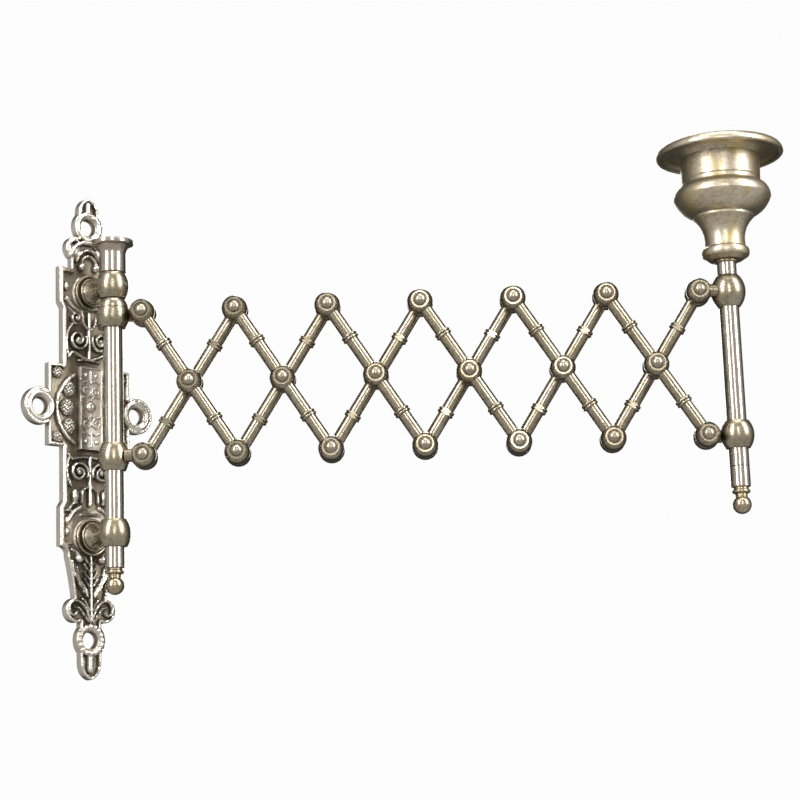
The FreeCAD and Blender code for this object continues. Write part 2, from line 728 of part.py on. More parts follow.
def build_lattice():
    nodes = []
    for number in range(1, BAR_COUNT + 1):
        nodes.append(make_bar(f"front_bar_{number}", "front", number))
        nodes.append(make_bar(f"rear_bar_{number}", "rear", number))
        held = [pivot("top", number), pivot("middle", number), pivot("bottom", number + 1)]
        nodes.append(make_rivets(f"front_bar_{number}_rivets", held))
    nodes.append(make_rivets("first_rear_bar_rivet", [pivot("bottom", 1)]))
    nodes.append(make_rivets("last_rear_bar_rivet", [pivot("top", BAR_COUNT + 1)]))
    return nodes


def build_knuckles():
    """Rear lugs are the front ones turned over about the arm; lugs towards the wall are turned end for end."""
    sliding = "tube_radius + running_gap"
    over = Rotation(ALONG, 180)
    back = Rotation(UPRIGHT, 180)
    bottom = "-bar_pitch * sin(lattice_angle)"
    upper = make_knuckle("upper_knuckle", "knuckle", "upper_knuckle_height", sliding, groove="1.5")
    upper.Placement = arm_placement(rotation=over)
    left = make_knuckle("left_slider", "slider", "slider_height", sliding)
    left.Placement = arm_placement(level=bottom)
    right = make_knuckle("right_slider", "slider", "slider_height", sliding)
    right.Placement = arm_placement(post_axis(), bottom, back)
    fixed = make_knuckle("post_knuckle", "post_knuckle", "post_knuckle_height", "tube_radius")
    fixed.Placement = arm_placement(post_axis(), "0", over.multiply(back))
    return [upper, left, right, fixed]


def build_candle_post():
    nodes = [make_post_tube(), make_post_ferrule(), make_cup_seat()]
    cup = make_cup()
    finial = make_finial("post_finial", "plug_length + post_drop - seam_drop")
    for node in nodes:
        node.Placement = arm_placement(post_axis())
    cup.Placement = arm_placement(post_axis(), "cup_level")
    finial.Placement = arm_placement(post_axis(), "-post_drop")
    return nodes + [cup, finial]


def check_and_export(nodes):
    doc.recompute()
    for item in doc.Objects:
        troubles = {"Invalid", "Error"} & set(item.State)
        if troubles:
            raise RuntimeError(f"{item.Label} is {troubles}")
    for node in nodes:
        if node.Shape.isNull() or not node.Shape.isValid():
            raise RuntimeError(f"{node.Label} has no valid shape")
    os.makedirs("parts", exist_ok=True)
    for node in nodes:
        node.Shape.exportStep(f"parts/{node.Label}.step")
        box = node.Shape.BoundBox
        print(f"{node.Label:24s} solids {len(node.Shape.Solids)} volume {node.Shape.Volume:9.1f}"
              f"  x {box.XMin:7.1f} {box.XMax:7.1f}  y {box.YMin:7.1f} {box.YMax:7.1f}"
              f"  z {box.ZMin:7.1f} {box.ZMax:7.1f}")


NODES = build_wall_side() + build_lattice() + build_knuckles() + build_candle_post()
check_and_export(NODES)
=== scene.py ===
"""An extending wall sconce candle holder in nickel-plated brass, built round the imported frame."""

import math

import bmesh
import bpy
import numpy as np
from mathutils import Matrix, Vector, geometry


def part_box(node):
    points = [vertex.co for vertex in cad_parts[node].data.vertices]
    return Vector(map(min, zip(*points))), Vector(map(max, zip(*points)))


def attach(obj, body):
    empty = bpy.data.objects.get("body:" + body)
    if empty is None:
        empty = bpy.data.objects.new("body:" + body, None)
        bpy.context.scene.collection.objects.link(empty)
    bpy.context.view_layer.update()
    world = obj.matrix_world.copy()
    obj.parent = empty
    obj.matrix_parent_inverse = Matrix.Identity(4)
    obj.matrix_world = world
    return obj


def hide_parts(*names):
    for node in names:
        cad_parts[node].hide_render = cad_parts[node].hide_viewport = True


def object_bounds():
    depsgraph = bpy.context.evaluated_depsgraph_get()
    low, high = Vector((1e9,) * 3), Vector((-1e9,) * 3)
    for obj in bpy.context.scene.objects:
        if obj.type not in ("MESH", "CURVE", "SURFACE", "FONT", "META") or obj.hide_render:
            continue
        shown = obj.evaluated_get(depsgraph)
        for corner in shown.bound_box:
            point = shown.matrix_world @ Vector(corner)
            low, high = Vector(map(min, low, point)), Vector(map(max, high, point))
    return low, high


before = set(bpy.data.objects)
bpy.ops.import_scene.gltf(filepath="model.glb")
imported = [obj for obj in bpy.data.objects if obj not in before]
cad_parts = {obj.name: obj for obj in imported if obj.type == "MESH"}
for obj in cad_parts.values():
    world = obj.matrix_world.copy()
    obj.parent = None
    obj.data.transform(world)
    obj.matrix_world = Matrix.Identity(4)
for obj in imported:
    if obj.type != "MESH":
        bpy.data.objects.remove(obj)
cad_low, cad_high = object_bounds()

MM = 0.001


# ---------------------------------------------------------------- shader nodes

class Graph:
    """A material's node tree, with short calls for the nodes that the finishes share."""

    # The mix node has a set of sockets for each kind of data; these belong to its colours.
    MIX_FACTOR, MIX_A, MIX_B, MIX_RESULT = 0, 6, 7, 2

    def __init__(self, name):
        self.material = bpy.data.materials.new(name)
        self.material.use_nodes = True
        self.tree = self.material.node_tree
        self.tree.nodes.clear()
        self.coords = self.add("ShaderNodeTexCoord").outputs["Object"]

    def feed(self, socket, value):
        """Link the socket to another node's output, or give it a value of its own."""
        if isinstance(value, bpy.types.NodeSocket):
            self.tree.links.new(value, socket)
        elif socket.type == "RGBA":
            socket.default_value = (*value, 1.0)
        else:
            socket.default_value = value

    def add(self, kind, **inputs):
        """A new node with its inputs given by name, where an underscore stands for a space."""
        node = self.tree.nodes.new(kind)
        for key, value in inputs.items():
            self.feed(node.inputs[key.replace("_", " ")], value)
        return node

    def noise(self, size, detail=4.0, rough=0.55, stretch=(1, 1, 1)):
        """Noise with features of about size millimetres, finer where the stretch of an axis is larger."""
        place = self.add("ShaderNodeMapping", Vector=self.coords, Scale=[s / size / MM for s in stretch])
        node = self.add("ShaderNodeTexNoise", Vector=place.outputs["Vector"], Scale=1.0, Detail=detail,
                        Roughness=rough)
        return node.outputs["Fac"]

    def ramp(self, value, low, high, start=0.0, end=1.0):
        """start where the value is below low, end where it is above high, and straight between."""
        node = self.add("ShaderNodeMapRange", Value=value, From_Min=low, From_Max=high,
                        To_Min=start, To_Max=end)
        return node.outputs["Result"]

    def math(self, operation, a, b):
        node = self.add("ShaderNodeMath")
        node.operation = operation
        for socket, value in zip(node.inputs, (a, b)):
            self.feed(socket, value)
        return node.outputs["Value"]

    def plus(self, a, b):
        return self.math("ADD", a, b)

    def times(self, a, b):
        return self.math("MULTIPLY", a, b)

    def mix(self, factor, a, b):
        """The colour a where the factor is 0, and b where it is 1."""
        node = self.add("ShaderNodeMix")
        node.data_type = "RGBA"
        for index, value in ((self.MIX_FACTOR, factor), (self.MIX_A, a), (self.MIX_B, b)):
            self.feed(node.inputs[index], value)
        return node.outputs[self.MIX_RESULT]

    def crevice(self, reach, low, high):
        """0 in the open, 1 in crevices narrower than about reach millimetres, from ambient occlusion: the
        mask for painted shade in corners.
        """
        node = self.add("ShaderNodeAmbientOcclusion", Distance=reach * MM)
        node.samples = 8
        node.only_local = False
        return self.ramp(node.outputs["AO"], high, low)

    def edges(self, radius, low, high):
        """1 where the surface turns sharply within radius millimetres."""
        bevel = self.add("ShaderNodeBevel", Radius=radius * MM)
        bevel.samples = 6
        flat = self.add("ShaderNodeNewGeometry")
        dot = self.add("ShaderNodeVectorMath")
        dot.operation = "DOT_PRODUCT"
        for socket, node in zip(dot.inputs, (bevel, flat)):
            self.feed(socket, node.outputs["Normal"])
        return self.ramp(dot.outputs["Value"], high, low)

    def finish(self, colour, roughness, bumps, metallic=1.0):
        """The shader itself.  bumps is a list of (height socket, depth in millimetres)."""
        normal = {}
        for height, depth in bumps:
            bump = self.add("ShaderNodeBump", Height=height, Strength=1.0, Distance=depth * MM, **normal)
            normal = {"Normal": bump.outputs["Normal"]}
        shader = self.add("ShaderNodeBsdfPrincipled", Base_Color=colour, Roughness=roughness,
                          Metallic=metallic, **normal)
        self.add("ShaderNodeOutputMaterial", Surface=shader.outputs["BSDF"])
        return self.material


AROUND_Z = (0.06, 0.06, 1.0)     # lathe marks run round a standing axis
LATHE_MARK_DEPTH = 0.006


def scaled(colour, factor):
    """The colour made darker or lighter, up to white."""
    return tuple(min(1.0, c * factor) for c in colour)


def worn_metal(name, bright, dull, patina, gloss, turning=None, brass=None, wear=0.2, shade_and_grime=0.8,
               patches=(0.45, 0.72), scratches=0.0035, pits=0.014, reach=2.6, sunk=None):
    """Old plated metal.

    bright, dull and patina are its colours from rubbed to tarnished; gloss is (smooth, rough) roughness.
    turning stretches fine lathe marks along an axis, and brass is the colour where the plating is gone.
    wear is how much the edges shine.  The argument after it sets how dark the painted shade in corners and
    crevices is, taken from ambient occlusion and partly standing for grime, and reach how far in
    millimetres this painted shade spreads out of a corner.  patches are the noise levels between which
    patina sets in.
    scratches and pits are depths in millimetres.  sunk gives the relief heights in millimetres between
    which a casting goes from blackened to rubbed.
    """
    g = Graph(name)
    cloud = g.noise(size=9.0, detail=5.0)
    spots = g.noise(size=1.3, rough=0.7)
    fine = g.noise(size=0.35, detail=3.0, rough=0.6)
    bumps = [(spots, pits), (fine, scratches)]
    colour = g.mix(g.ramp(cloud, low=0.35, high=0.68), bright, dull)
    colour = g.mix(g.ramp(spots, *patches, end=0.8), colour, patina)
    colour = g.mix(g.ramp(fine, low=0.52, high=0.72, end=0.45), colour, patina)
    roughness = g.ramp(g.plus(cloud, g.times(spots, 0.6)), 0.5, 1.1, *gloss)
    if turning:
        rings = g.noise(size=0.22, detail=2.0, rough=0.5, stretch=turning)
        bands = g.noise(size=2.2, detail=3.0, rough=0.6, stretch=turning)
        bumps.append((rings, LATHE_MARK_DEPTH))
        roughness = g.plus(roughness, g.ramp(rings, low=0.3, high=0.7, start=-0.04, end=0.05))
        colour = g.mix(g.ramp(rings, low=0.48, high=0.75, end=0.45), colour, patina)
        colour = g.mix(g.ramp(bands, low=0.5, high=0.7, end=0.35), colour, dull)
    if brass:
        bare = g.noise(size=6.0, detail=6.0, rough=0.65, stretch=(1.0, 1.0, 0.6))
        colour = g.mix(g.ramp(bare, low=0.48, high=0.62, end=0.85), colour, brass)
    if sunk:
        level = g.add("ShaderNodeAttribute")
        level.attribute_name = "relief"
        height = g.plus(level.outputs["Fac"], g.times(spots, 0.5))
        depth = g.ramp(height, *sunk, start=1.0, end=0.0)
        colour = g.mix(g.times(depth, 0.85), colour, scaled(patina, 0.6))
        roughness = g.plus(roughness, g.times(depth, 0.25))
    worn = g.edges(radius=0.35, low=0.75, high=0.97)
    colour = g.mix(g.times(worn, wear), colour, scaled(bright, 1.35))
    # Painted shade: ambient occlusion darkens the colour towards tarnish in corners and crevices, partly
    # standing for grime there.
    painted_shade_and_grime = g.times(g.crevice(reach, low=0.35, high=0.85), shade_and_grime)
    colour = g.mix(painted_shade_and_grime, colour, scaled(patina, 0.35))
    roughness = g.plus(roughness, g.times(painted_shade_and_grime, 0.3))
    return g.finish(colour, roughness, bumps)


FINISHES = {
    "cast_plate": worn_metal(
        "cast_plate_nickel", bright=(0.88, 0.84, 0.775), dull=(0.70, 0.65, 0.57), patina=(0.36, 0.30, 0.20),
        gloss=(0.16, 0.34), patches=(0.55, 0.85), shade_and_grime=0.9, sunk=(2.0, 2.9)),
    "turned_knuckles": worn_metal(
        "knuckle_nickel", bright=(0.49, 0.445, 0.345), dull=(0.36, 0.31, 0.215),
        patina=(0.18, 0.142, 0.085), gloss=(0.18, 0.34), turning=AROUND_Z),
    "lattice_bars": worn_metal(
        "lattice_nickel", bright=(0.45, 0.405, 0.32), dull=(0.33, 0.285, 0.20), patina=(0.14, 0.106, 0.06),
        gloss=(0.17, 0.32), wear=0.06, pits=0.006, scratches=0.0015),
    "rivets": worn_metal(
        "rivet_nickel", bright=(0.51, 0.46, 0.375), dull=(0.38, 0.33, 0.24), patina=(0.18, 0.14, 0.085),
        gloss=(0.22, 0.4)),
    "bright_tube": worn_metal(
        "tube_nickel", bright=(0.58, 0.53, 0.465), dull=(0.46, 0.41, 0.345), patina=(0.27, 0.22, 0.15),
        gloss=(0.13, 0.26), turning=AROUND_Z, patches=(0.55, 0.85), wear=0.15),
    # The cup's long reach spreads the painted shade from ambient occlusion far under its flange.
    "candle_cup": worn_metal(
        "cup_nickel", bright=(0.71, 0.64, 0.52), dull=(0.57, 0.495, 0.375), patina=(0.27, 0.215, 0.13),
        gloss=(0.28, 0.44), turning=AROUND_Z, brass=(0.57, 0.45, 0.21), reach=8.0),
    "bare_brass": worn_metal(
        "bare_brass", bright=(0.52, 0.445, 0.31), dull=(0.38, 0.31, 0.19), patina=(0.16, 0.115, 0.06),
        gloss=(0.2, 0.36), turning=AROUND_Z),
    "steel_screws": worn_metal(
        "steel", bright=(0.45, 0.44, 0.42), dull=(0.32, 0.31, 0.29), patina=(0.14, 0.11, 0.08),
        gloss=(0.3, 0.5)),
}
NODE_SLOTS = {
    "back_plate": "cast_plate", "candle_cup": "candle_cup", "lock_pin": "steel_screws",
    "bracket_screws": "steel_screws", "spindle_tube": "bright_tube", "spindle_cap": "bright_tube",
    "post_tube": "bright_tube", "post_ferrule": "bright_tube", "spindle_finial": "bare_brass",
    "post_finial": "bare_brass", "cup_seat": "bare_brass",
}


def finish_of(node):
    """The finish that a node of the frame wears."""
    if node.endswith(("_rivets", "_rivet")):
        return "rivets"
    if "_bar_" in node:
        return "lattice_bars"
    return NODE_SLOTS.get(node, "turned_knuckles")


for label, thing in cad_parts.items():
    thing.data.materials.clear()
    thing.data.materials.append(FINISHES[finish_of(label)])


# ---------------------------------------------------------------- cast relief of the back plate

# Heights above the wall and lengths on the plate are in millimetres; the ornament is mirrored about x = 0.
RIM_TOP, FLOOR_TOP = 2.8, 1.3
WALL_SLOPE = 0.3                     # width over which a wall rises
EDGE_ROUND, EDGE_DROP = 0.3, 0.5     # the rounded outer edge

# The raised rim is narrower on the side arms and towards both tips.
RIM_WIDTH, ARM_RIM_WIDTH, TIP_RIM_WIDTH = 1.7, 1.2, 1.15
ARM_START, ARM_HALF_HEIGHT, TAIL_START, HEAD_START = 10.6, 14.5, -45.6, 47.6

# A round band about the centre, and the panel that stands in front of it.
BAND_INNER, BAND_OUTER, BAND_START = 12.0, 13.5, 5.6
PANEL_HALF, PANEL_LOW, PANEL_HIGH, PANEL_TOP = 4.6, -13.5, 14.6, 3.7
PANEL_SINK, PANEL_BORDER, PANEL_BOSS_BASE = 0.55, 0.9, 3.1
PANEL_DARKENING = PANEL_TOP - RIM_TOP + 0.1     # how much lower the panel counts as, for the finish

STIPPLE_DEPTH, STIPPLE_REACH, PEBBLE_DEPTH, CUSHION_FLATNESS = 0.12, 0.1, 0.45, 0.35

# Round flats under the brackets, and the crests and countersinks of the eyelets.
BRACKET_LEVELS, SEAT_RADIUS, SEAT_TOP = (39.6, -42.2), 6.3, RIM_TOP - 0.02
EYELET_RADIUS, EYELET_CREST, CREST_HALF, CREST_RISE, CREST_FALL = 5.3, 4.3, 0.9, 0.35, 0.55
SINK_RADIUS, SINK_SLOPE, BEAD_COUNT = 3.5, 1.1, 16

# The relief's mesh: its spacings, and how far from the outlines its contour lines run.
GRID_STEP, FINE_SHARE, EDGE_STEP = 0.36, 0.62, 0.45
EDGE_MARGIN, DETAIL_MARGIN, SMALLEST_CELL = 0.1, 0.3, 0.13
CONTOURS = (0.12, 0.3, 1.15, 1.45, 1.7, 2.0)
CURVE_STEPS, SPIRAL_STEP = 6, 20     # steps between two points of a curve, and degrees per step of a scroll
ON_THE_WALL, SAME_PLACE = 1e-6, 1e-6


def outline_loops(label):
    """The closed outlines of a node's flat back, as arrays of (x, z)."""
    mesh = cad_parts[label].data
    following, edges = {}, set()
    for face in mesh.polygons:
        corners = [mesh.vertices[i].co for i in face.vertices]
        if max(abs(c.y) for c in corners) < ON_THE_WALL:
            keys = [(round(c.x / MM, 3), round(c.z / MM, 3)) for c in corners]
            edges.update(zip(keys, keys[1:] + keys[:1]))
    for a, b in edges:
        if (b, a) not in edges:
            following[a] = b
    loops = []
    while following:
        loop = [next(iter(following))]
        while loop[-1] in following:
            loop.append(following.pop(loop[-1]))
        loops.append(resampled(np.array(loop)))
    return loops


def resampled(loop):
    """The same closed outline with its sides divided into steps of about EDGE_STEP."""
    points = []
    for a, b in zip(loop[:-1], loop[1:]):
        if points and np.hypot(*(a - points[-1])) < EDGE_STEP / 3:
            a = points.pop()
        count = max(1, round(np.hypot(*(b - a)) / EDGE_STEP))
        points += [a + (b - a) * i / count for i in range(count)]
    return np.array(points)


def inside(points, loops):
    """Even-odd test of points against all the loops."""
    result = np.zeros(len(points), bool)
    x, z = points.T
    for loop in loops:
        for (ax, az), (bx, bz) in zip(loop, np.roll(loop, -1, axis=0)):
            if az != bz:
                crosses = (az > z) != (bz > z)
                result ^= crosses & (x < (bx - ax) * (z - az) / (bz - az) + ax)
    return result


def distance(points, path):
    """Distance of each point from an open polyline."""
    best = np.full(len(points), np.inf)
    for a, b in zip(path[:-1], path[1:]):
        span = b - a
        share = np.clip((points - a) @ span / max(span @ span, 1e-12), 0, 1)
        best = np.minimum(best, np.hypot(*(points - a - share[:, None] * span).T))
    return best


def curve(*points):
    """A smooth polyline through the points, with CURVE_STEPS steps between each two."""
    p = np.array([points[0], *points, points[-1]], float)
    t = np.linspace(0, 1, CURVE_STEPS + 1)[:-1, None]
    parts = []
    for a, b, c, d in zip(p, p[1:], p[2:], p[3:]):
        parts.append(b + t * (c - a) / 2 + t**2 * (a - 2.5 * b + 2 * c - d / 2)
                     + t**3 * (1.5 * (b - c) + (d - a) / 2))
    return np.vstack([*parts, p[-1:]])


def spiral(x, z, outer, inner, start, end):
    """A scroll about (x, z) whose radius shrinks from outer to inner between two angles in degrees."""
    count = max(6, int(abs(end - start) / SPIRAL_STEP))
    angle = np.radians(np.linspace(start, end, count))
    radius = np.linspace(outer, inner, count)
    return np.column_stack([x + radius * np.cos(angle), z + radius * np.sin(angle)])


# Round-topped ridges: (path, half-width, height of the crest).
RIDGES = [
    # upper scrolls and the small ones above them
    (spiral(4.4, 23.6, 3.5, 1.0, -200, 330), 0.62, 3.3),
    (curve((1.0, 17.2), (3.6, 18.2), (6.4, 19.2), (8.2, 17.4)), 0.6, 3.0),
    (curve((8.3, 18.2), (8.9, 22.0), (8.4, 26.0), (6.6, 28.6)), 0.55, 2.9),
    (spiral(5.0, 30.9, 2.0, 0.7, -90, 260), 0.5, 3.0),
    (curve((0.0, 17.5), (0.0, 24.0), (0.0, 33.0)), 0.7, 3.1),
    (curve((0.6, 27.5), (2.2, 29.5), (2.8, 33.4)), 0.5, 2.9),
    # shell hood
    (spiral(0.0, 49.6, 3.0, 3.0, 5, 175), 0.55, 3.0),
    (spiral(0.0, 49.6, 4.9, 4.9, 10, 170), 0.6, 3.2),
    (spiral(0.6, 50.2, 7.2, 7.0, -10, 100), 0.85, 3.5),
    (curve((7.6, 53.4), (7.9, 55.6), (6.2, 57.4), (4.4, 57.0)), 0.6, 3.3),
    # straps from the blocks to the centre line, and the bars across it
    (curve((8.8, 37.2), (6.4, 34.8), (3.4, 33.6)), 0.85, 3.0),
    (curve((8.4, 34.2), (6.2, 32.9), (4.2, 32.6)), 0.5, 2.7),
    (curve((8.8, -37.4), (6.6, -34.2), (3.6, -32.4)), 0.85, 3.0),
    (curve((8.4, -33.4), (6.6, -31.4), (5.0, -30.9)), 0.5, 2.7),
    (curve((0.0, -34.6), (3.6, -34.8)), 0.5, 2.8),
    (curve((0.0, 17.0), (4.2, 16.6)), 0.45, 2.8),
    # corners of the two blocks
    *[(curve((7.2, z), (9.5, z)), 0.5, 2.7) for z in (36.6, 46.6, -33.6, -44.4)],
    # lower scrolls
    (spiral(4.3, -20.8, 3.5, 1.0, 200, -330), 0.62, 3.3),
    (curve((1.0, -15.6), (3.6, -15.9), (6.8, -16.4), (8.4, -15.2)), 0.6, 3.0),
    (curve((8.3, -16.4), (8.9, -19.8), (8.5, -23.5), (7.3, -25.4)), 0.55, 2.9),
    (curve((0.0, -15.6), (0.0, -24.0), (0.0, -31.5)), 0.7, 3.1),
    (curve((0.8, -25.4), (2.8, -27.0), (3.2, -30.6)), 0.5, 2.9),
    # struts and fluted bands of the tail
    (curve((7.4, -46.4), (5.6, -46.9), (4.5, -48.2)), 0.6, 3.1),
    *[(curve((7.3 - k, -50.0 - k), (6.4 - k, -54.0 - k * 0.9), (3.9 - 0.8 * k, -58.2),
             (1.2, -61.6 + 0.6 * k)), 0.42, 3.2 - 0.12 * k) for k in (0.0, 0.95, 1.9)],
    # acanthus stem and leaflets
    (curve((0.0, -48.0), (0.0, -58.0), (0.0, -69.5)), 0.55, 3.3),
    *[(curve((0.2, z), (1.2, z + 0.8), (2.3, z + 2.7)), 0.42, 3.0) for z in (-51.2, -53.6, -56.0, -58.4)],
    # volutes
    (curve((0.4, -69.0), (1.9, -65.6), (3.9, -63.4), (6.6, -62.9), (8.3, -64.4), (8.2, -66.6),
           (6.6, -67.5), (5.5, -66.5)), 0.55, 3.2),
    (curve((0.6, -66.0), (2.1, -63.3), (3.2, -62.2)), 0.5, 3.0),
    (curve((0.9, -69.4), (2.9, -66.9), (4.5, -65.2), (6.3, -64.9)), 0.45, 2.9),
    # leaf tips
    (curve((0.0, 67.9), (0.0, 70.3)), 1.35, 2.9),
    (curve((0.0, -81.2), (0.0, -84.9)), 1.35, 2.9),
]
# Round bosses: (x, z, half-width, half-height, height of the crown).
BOSSES = [
    (4.4, 23.6, 1.15, 1.15, 3.5), (5.0, 30.9, 0.8, 0.8, 3.2), (8.9, 41.2, 1.1, 1.7, 3.3),
    (2.8, 48.7, 1.3, 1.3, 3.9), (4.3, -20.8, 1.2, 1.2, 3.5), (5.7, -28.7, 1.3, 2.6, 3.5),
    (4.4, -49.2, 1.6, 1.6, 4.0), (9.0, -37.0, 1.1, 1.5, 3.0), (9.0, -40.6, 1.1, 1.5, 3.0),
    (5.4, 53.6, 3.4, 3.0, 2.7), (3.6, 38.2, 6.0, 9.0, 2.2), (3.6, -40.8, 6.0, 9.0, 2.2),
]
# The same on the central panel.
PANEL_BOSSES = [
    (0.0, 1.0, 1.8, 1.8, 4.5), (2.0, 11.6, 0.8, 0.8, 4.0), (2.0, -10.6, 0.8, 0.8, 4.0),
]
# Pebbled cushions: (x, z, half-width, half-height, height of the crown).
CUSHIONS = [
    (8.7, 0.5, 2.6, 2.9, 2.8), (8.0, 6.9, 2.4, 3.0, 2.8), (7.9, -5.9, 2.4, 2.9, 2.8),
    (12.4, 11.8, 2.2, 1.9, 2.7), (12.6, -9.8, 2.2, 1.9, 2.7),
]
# Scrollwork on top of the central panel: (path, half-width, rise).
FILIGREE = [
    (spiral(1.9, 6.2, 1.9, 0.5, 250, -150), 0.34, 0.5),
    (spiral(1.9, -4.6, 1.9, 0.5, 110, 510), 0.34, 0.5),
    (curve((0.0, 3.2), (0.9, 4.4), (3.4, 4.0), (3.7, 1.0), (3.4, -2.0), (0.9, -2.6), (0.0, -1.4)),
     0.32, 0.45),
    (curve((0.0, 9.0), (1.3, 9.8), (3.2, 9.0)), 0.32, 0.45),
    (curve((0.0, -7.6), (1.3, -8.4), (3.2, -7.6)), 0.32, 0.45),
    (curve((0.0, 13.2), (0.0, 9.0)), 0.35, 0.5),
    (curve((0.0, -12.2), (0.0, -7.6)), 0.35, 0.5),
]
# Screw eyelets: (x, z, height of their beads).
EYELETS = [(0.0, 62.6, 0.0), (18.9, 0.0, 0.0), (0.0, -75.5, 0.45)]


def step_up(value):
    """0 below zero, 1 above WALL_SLOPE, and straight between."""
    return np.clip(value / WALL_SLOPE, 0, 1)


def raised(top, share, base=FLOOR_TOP):
    """Height that goes from base to top as share goes from 0 to 1."""
    return base + (top - base) * share


def mirrored(points):
    """The (x, z) points with those on the left carried over to the right."""
    return np.column_stack([np.abs(points[:, 0]), points[:, 1]])


def ridge(points, path, half):
    """1 on the path and 0 from half millimetres away, with a round top."""
    return np.sqrt(np.clip(1 - (distance(points, path) / half) ** 2, 0, 1))


def bulge(points, cx, cz, half, tall):
    """1 at the centre of an ellipse, 0 on its edge and negative outside it."""
    x, z = points.T
    return 1 - ((x - cx) / half) ** 2 - ((z - cz) / tall) ** 2


def rim_width(x, z):
    """Width of the raised rim along the outline."""
    width = np.where((x > ARM_START) & (np.abs(z) < ARM_HALF_HEIGHT), ARM_RIM_WIDTH, RIM_WIDTH)
    return np.where((z < TAIL_START) | (z > HEAD_START), TIP_RIM_WIDTH, width)


def stipple(x, z):
    """Faint unevenness of the sunk ground, as crossed waves of about 1.3 mm."""
    return STIPPLE_DEPTH * np.sin(x * 5.1 + 1.3 * np.sin(z * 2.9)) * np.sin(z * 4.7)


def pebbles(x, z):
    """Knobs in wavering rows of the same width, for the cushions."""
    return PEBBLE_DEPTH * np.sin(x * 4.9 + np.sin(z * 2.1)) * np.sin(z * 4.9 + np.sin(x * 2.7))


def from_panel_side(x, z):
    """Distance inwards from the sides of the central panel."""
    return np.minimum(PANEL_HALF - x, np.minimum(PANEL_HIGH - z, z - PANEL_LOW))


def panel_height(folded):
    """The central panel's top: a raised border round a sunk field with scrollwork."""
    field = PANEL_TOP - PANEL_SINK
    top = np.full(len(folded), field)
    for path, half, rise in FILIGREE:
        top = np.maximum(top, field + rise * ridge(folded, path, half))
    border = step_up(PANEL_BORDER - from_panel_side(*folded.T))
    return np.maximum(top, PANEL_TOP - PANEL_SINK * (1 - border))


def eyelet_relief(height, folded):
    """Rings around the four screw holes, with countersinks; the lowest is beaded."""
    x, z = folded.T
    for cx, cz, beads in EYELETS:
        radius = np.hypot(x - cx, z - cz)
        angle = np.arctan2(z - cz, x - cx)
        crest = RIM_TOP + CREST_RISE + beads * (np.abs(np.cos(angle * BEAD_COUNT / 2)) - 0.6)
        ring = crest - CREST_FALL * np.clip((radius - EYELET_CREST) / CREST_HALF, -1, 1) ** 2
        sink = RIM_TOP - np.clip(SINK_RADIUS - radius, 0, 1) * SINK_SLOPE
        inner = np.where(radius < SINK_RADIUS, sink, ring)
        height = np.where(radius < EYELET_RADIUS, inner, height)
    return height


def relief_height(points, edge):
    """Height of the cast surface at (x, z) points that lie edge millimetres from the nearest outline."""
    folded = mirrored(points)
    x, z = folded.T
    height = raised(RIM_TOP, step_up(rim_width(x, z) - edge))
    height += stipple(x, z) * (height < FLOOR_TOP + STIPPLE_REACH)
    from_centre = np.hypot(x, z)
    band = step_up(np.minimum(from_centre - BAND_INNER, BAND_OUTER - from_centre)) * (x > BAND_START)
    height = np.maximum(height, raised(RIM_TOP, band))
    for path, half, crest in RIDGES:
        height = np.maximum(height, raised(crest, ridge(folded, path, half)))
    for *place, crown in CUSHIONS:
        near = bulge(folded, *place)
        cushion = raised(crown, np.clip(near, 0, 1) ** CUSHION_FLATNESS) + pebbles(x, z)
        height = np.where(near > 0, np.maximum(height, cushion), height)
    on_panel = step_up(from_panel_side(x, z))
    height = np.maximum(height, raised(panel_height(folded), on_panel))
    for base, bosses in ((FLOOR_TOP, BOSSES), (PANEL_BOSS_BASE, PANEL_BOSSES)):
        for *place, crown in bosses:
            near = bulge(folded, *place)
            boss = raised(crown, np.sqrt(np.clip(near, 0, 1)), base)
            height = np.maximum(height, boss * (near > 0))
    height = eyelet_relief(height, folded)
    for level in BRACKET_LEVELS:
        seat = step_up(SEAT_RADIUS - np.hypot(x, z - level))
        height = height * (1 - seat) + SEAT_TOP * seat
    return height - EDGE_DROP * np.clip(1 - edge / EDGE_ROUND, 0, 1) ** 2


def is_detailed(points):
    """Where the ornament is fine enough to need closer points: the panel and the cushions."""
    folded = mirrored(points)
    found = from_panel_side(*folded.T) > -DETAIL_MARGIN
    for *place, _crown in CUSHIONS:
        found |= bulge(folded, *place) > 0
    return found


def contour_points(loops):
    """Points beside the loops, on lines at the distances where the relief rises and falls."""
    rings = []
    for loop in loops:
        along = np.roll(loop, -1, axis=0) - np.roll(loop, 1, axis=0)
        normal = np.column_stack([-along[:, 1], along[:, 0]]) / np.hypot(*along.T)[:, None]
        for depth in CONTOURS:
            for side in (1, -1):
                ring = loop + normal * depth * side
                rings.append(ring[inside(ring, loops)])
    return np.vstack(rings)


def grid_points(loops):
    """Points in a triangular grid inside the loops, closer together where the ornament is fine."""
    outline = np.vstack(loops)
    low, high = outline.min(0), outline.max(0)
    rows = np.arange(low[1], high[1], GRID_STEP * math.sqrt(3) / 2)
    columns = np.arange(GRID_STEP / 2, high[0], GRID_STEP)
    columns = np.concatenate([-columns[::-1], columns])
    grid = np.vstack([np.column_stack([columns + (i % 2) * GRID_STEP / 2, np.full(len(columns), z)])
                      for i, z in enumerate(rows)])
    fine = np.vstack([FINE_SHARE * grid, -FINE_SHARE * grid])
    grid = np.vstack([grid[~is_detailed(grid)], fine[is_detailed(fine)]])
    return grid[inside(grid, loops)]


def first_in_cell(points):
    """Indices of the points, without those that share a small cell with an earlier one."""
    taken = {}
    for i, (x, z) in enumerate(points):
        taken.setdefault((round(x / SMALLEST_CELL), round(z / SMALLEST_CELL)), i)
    return list(taken.values())


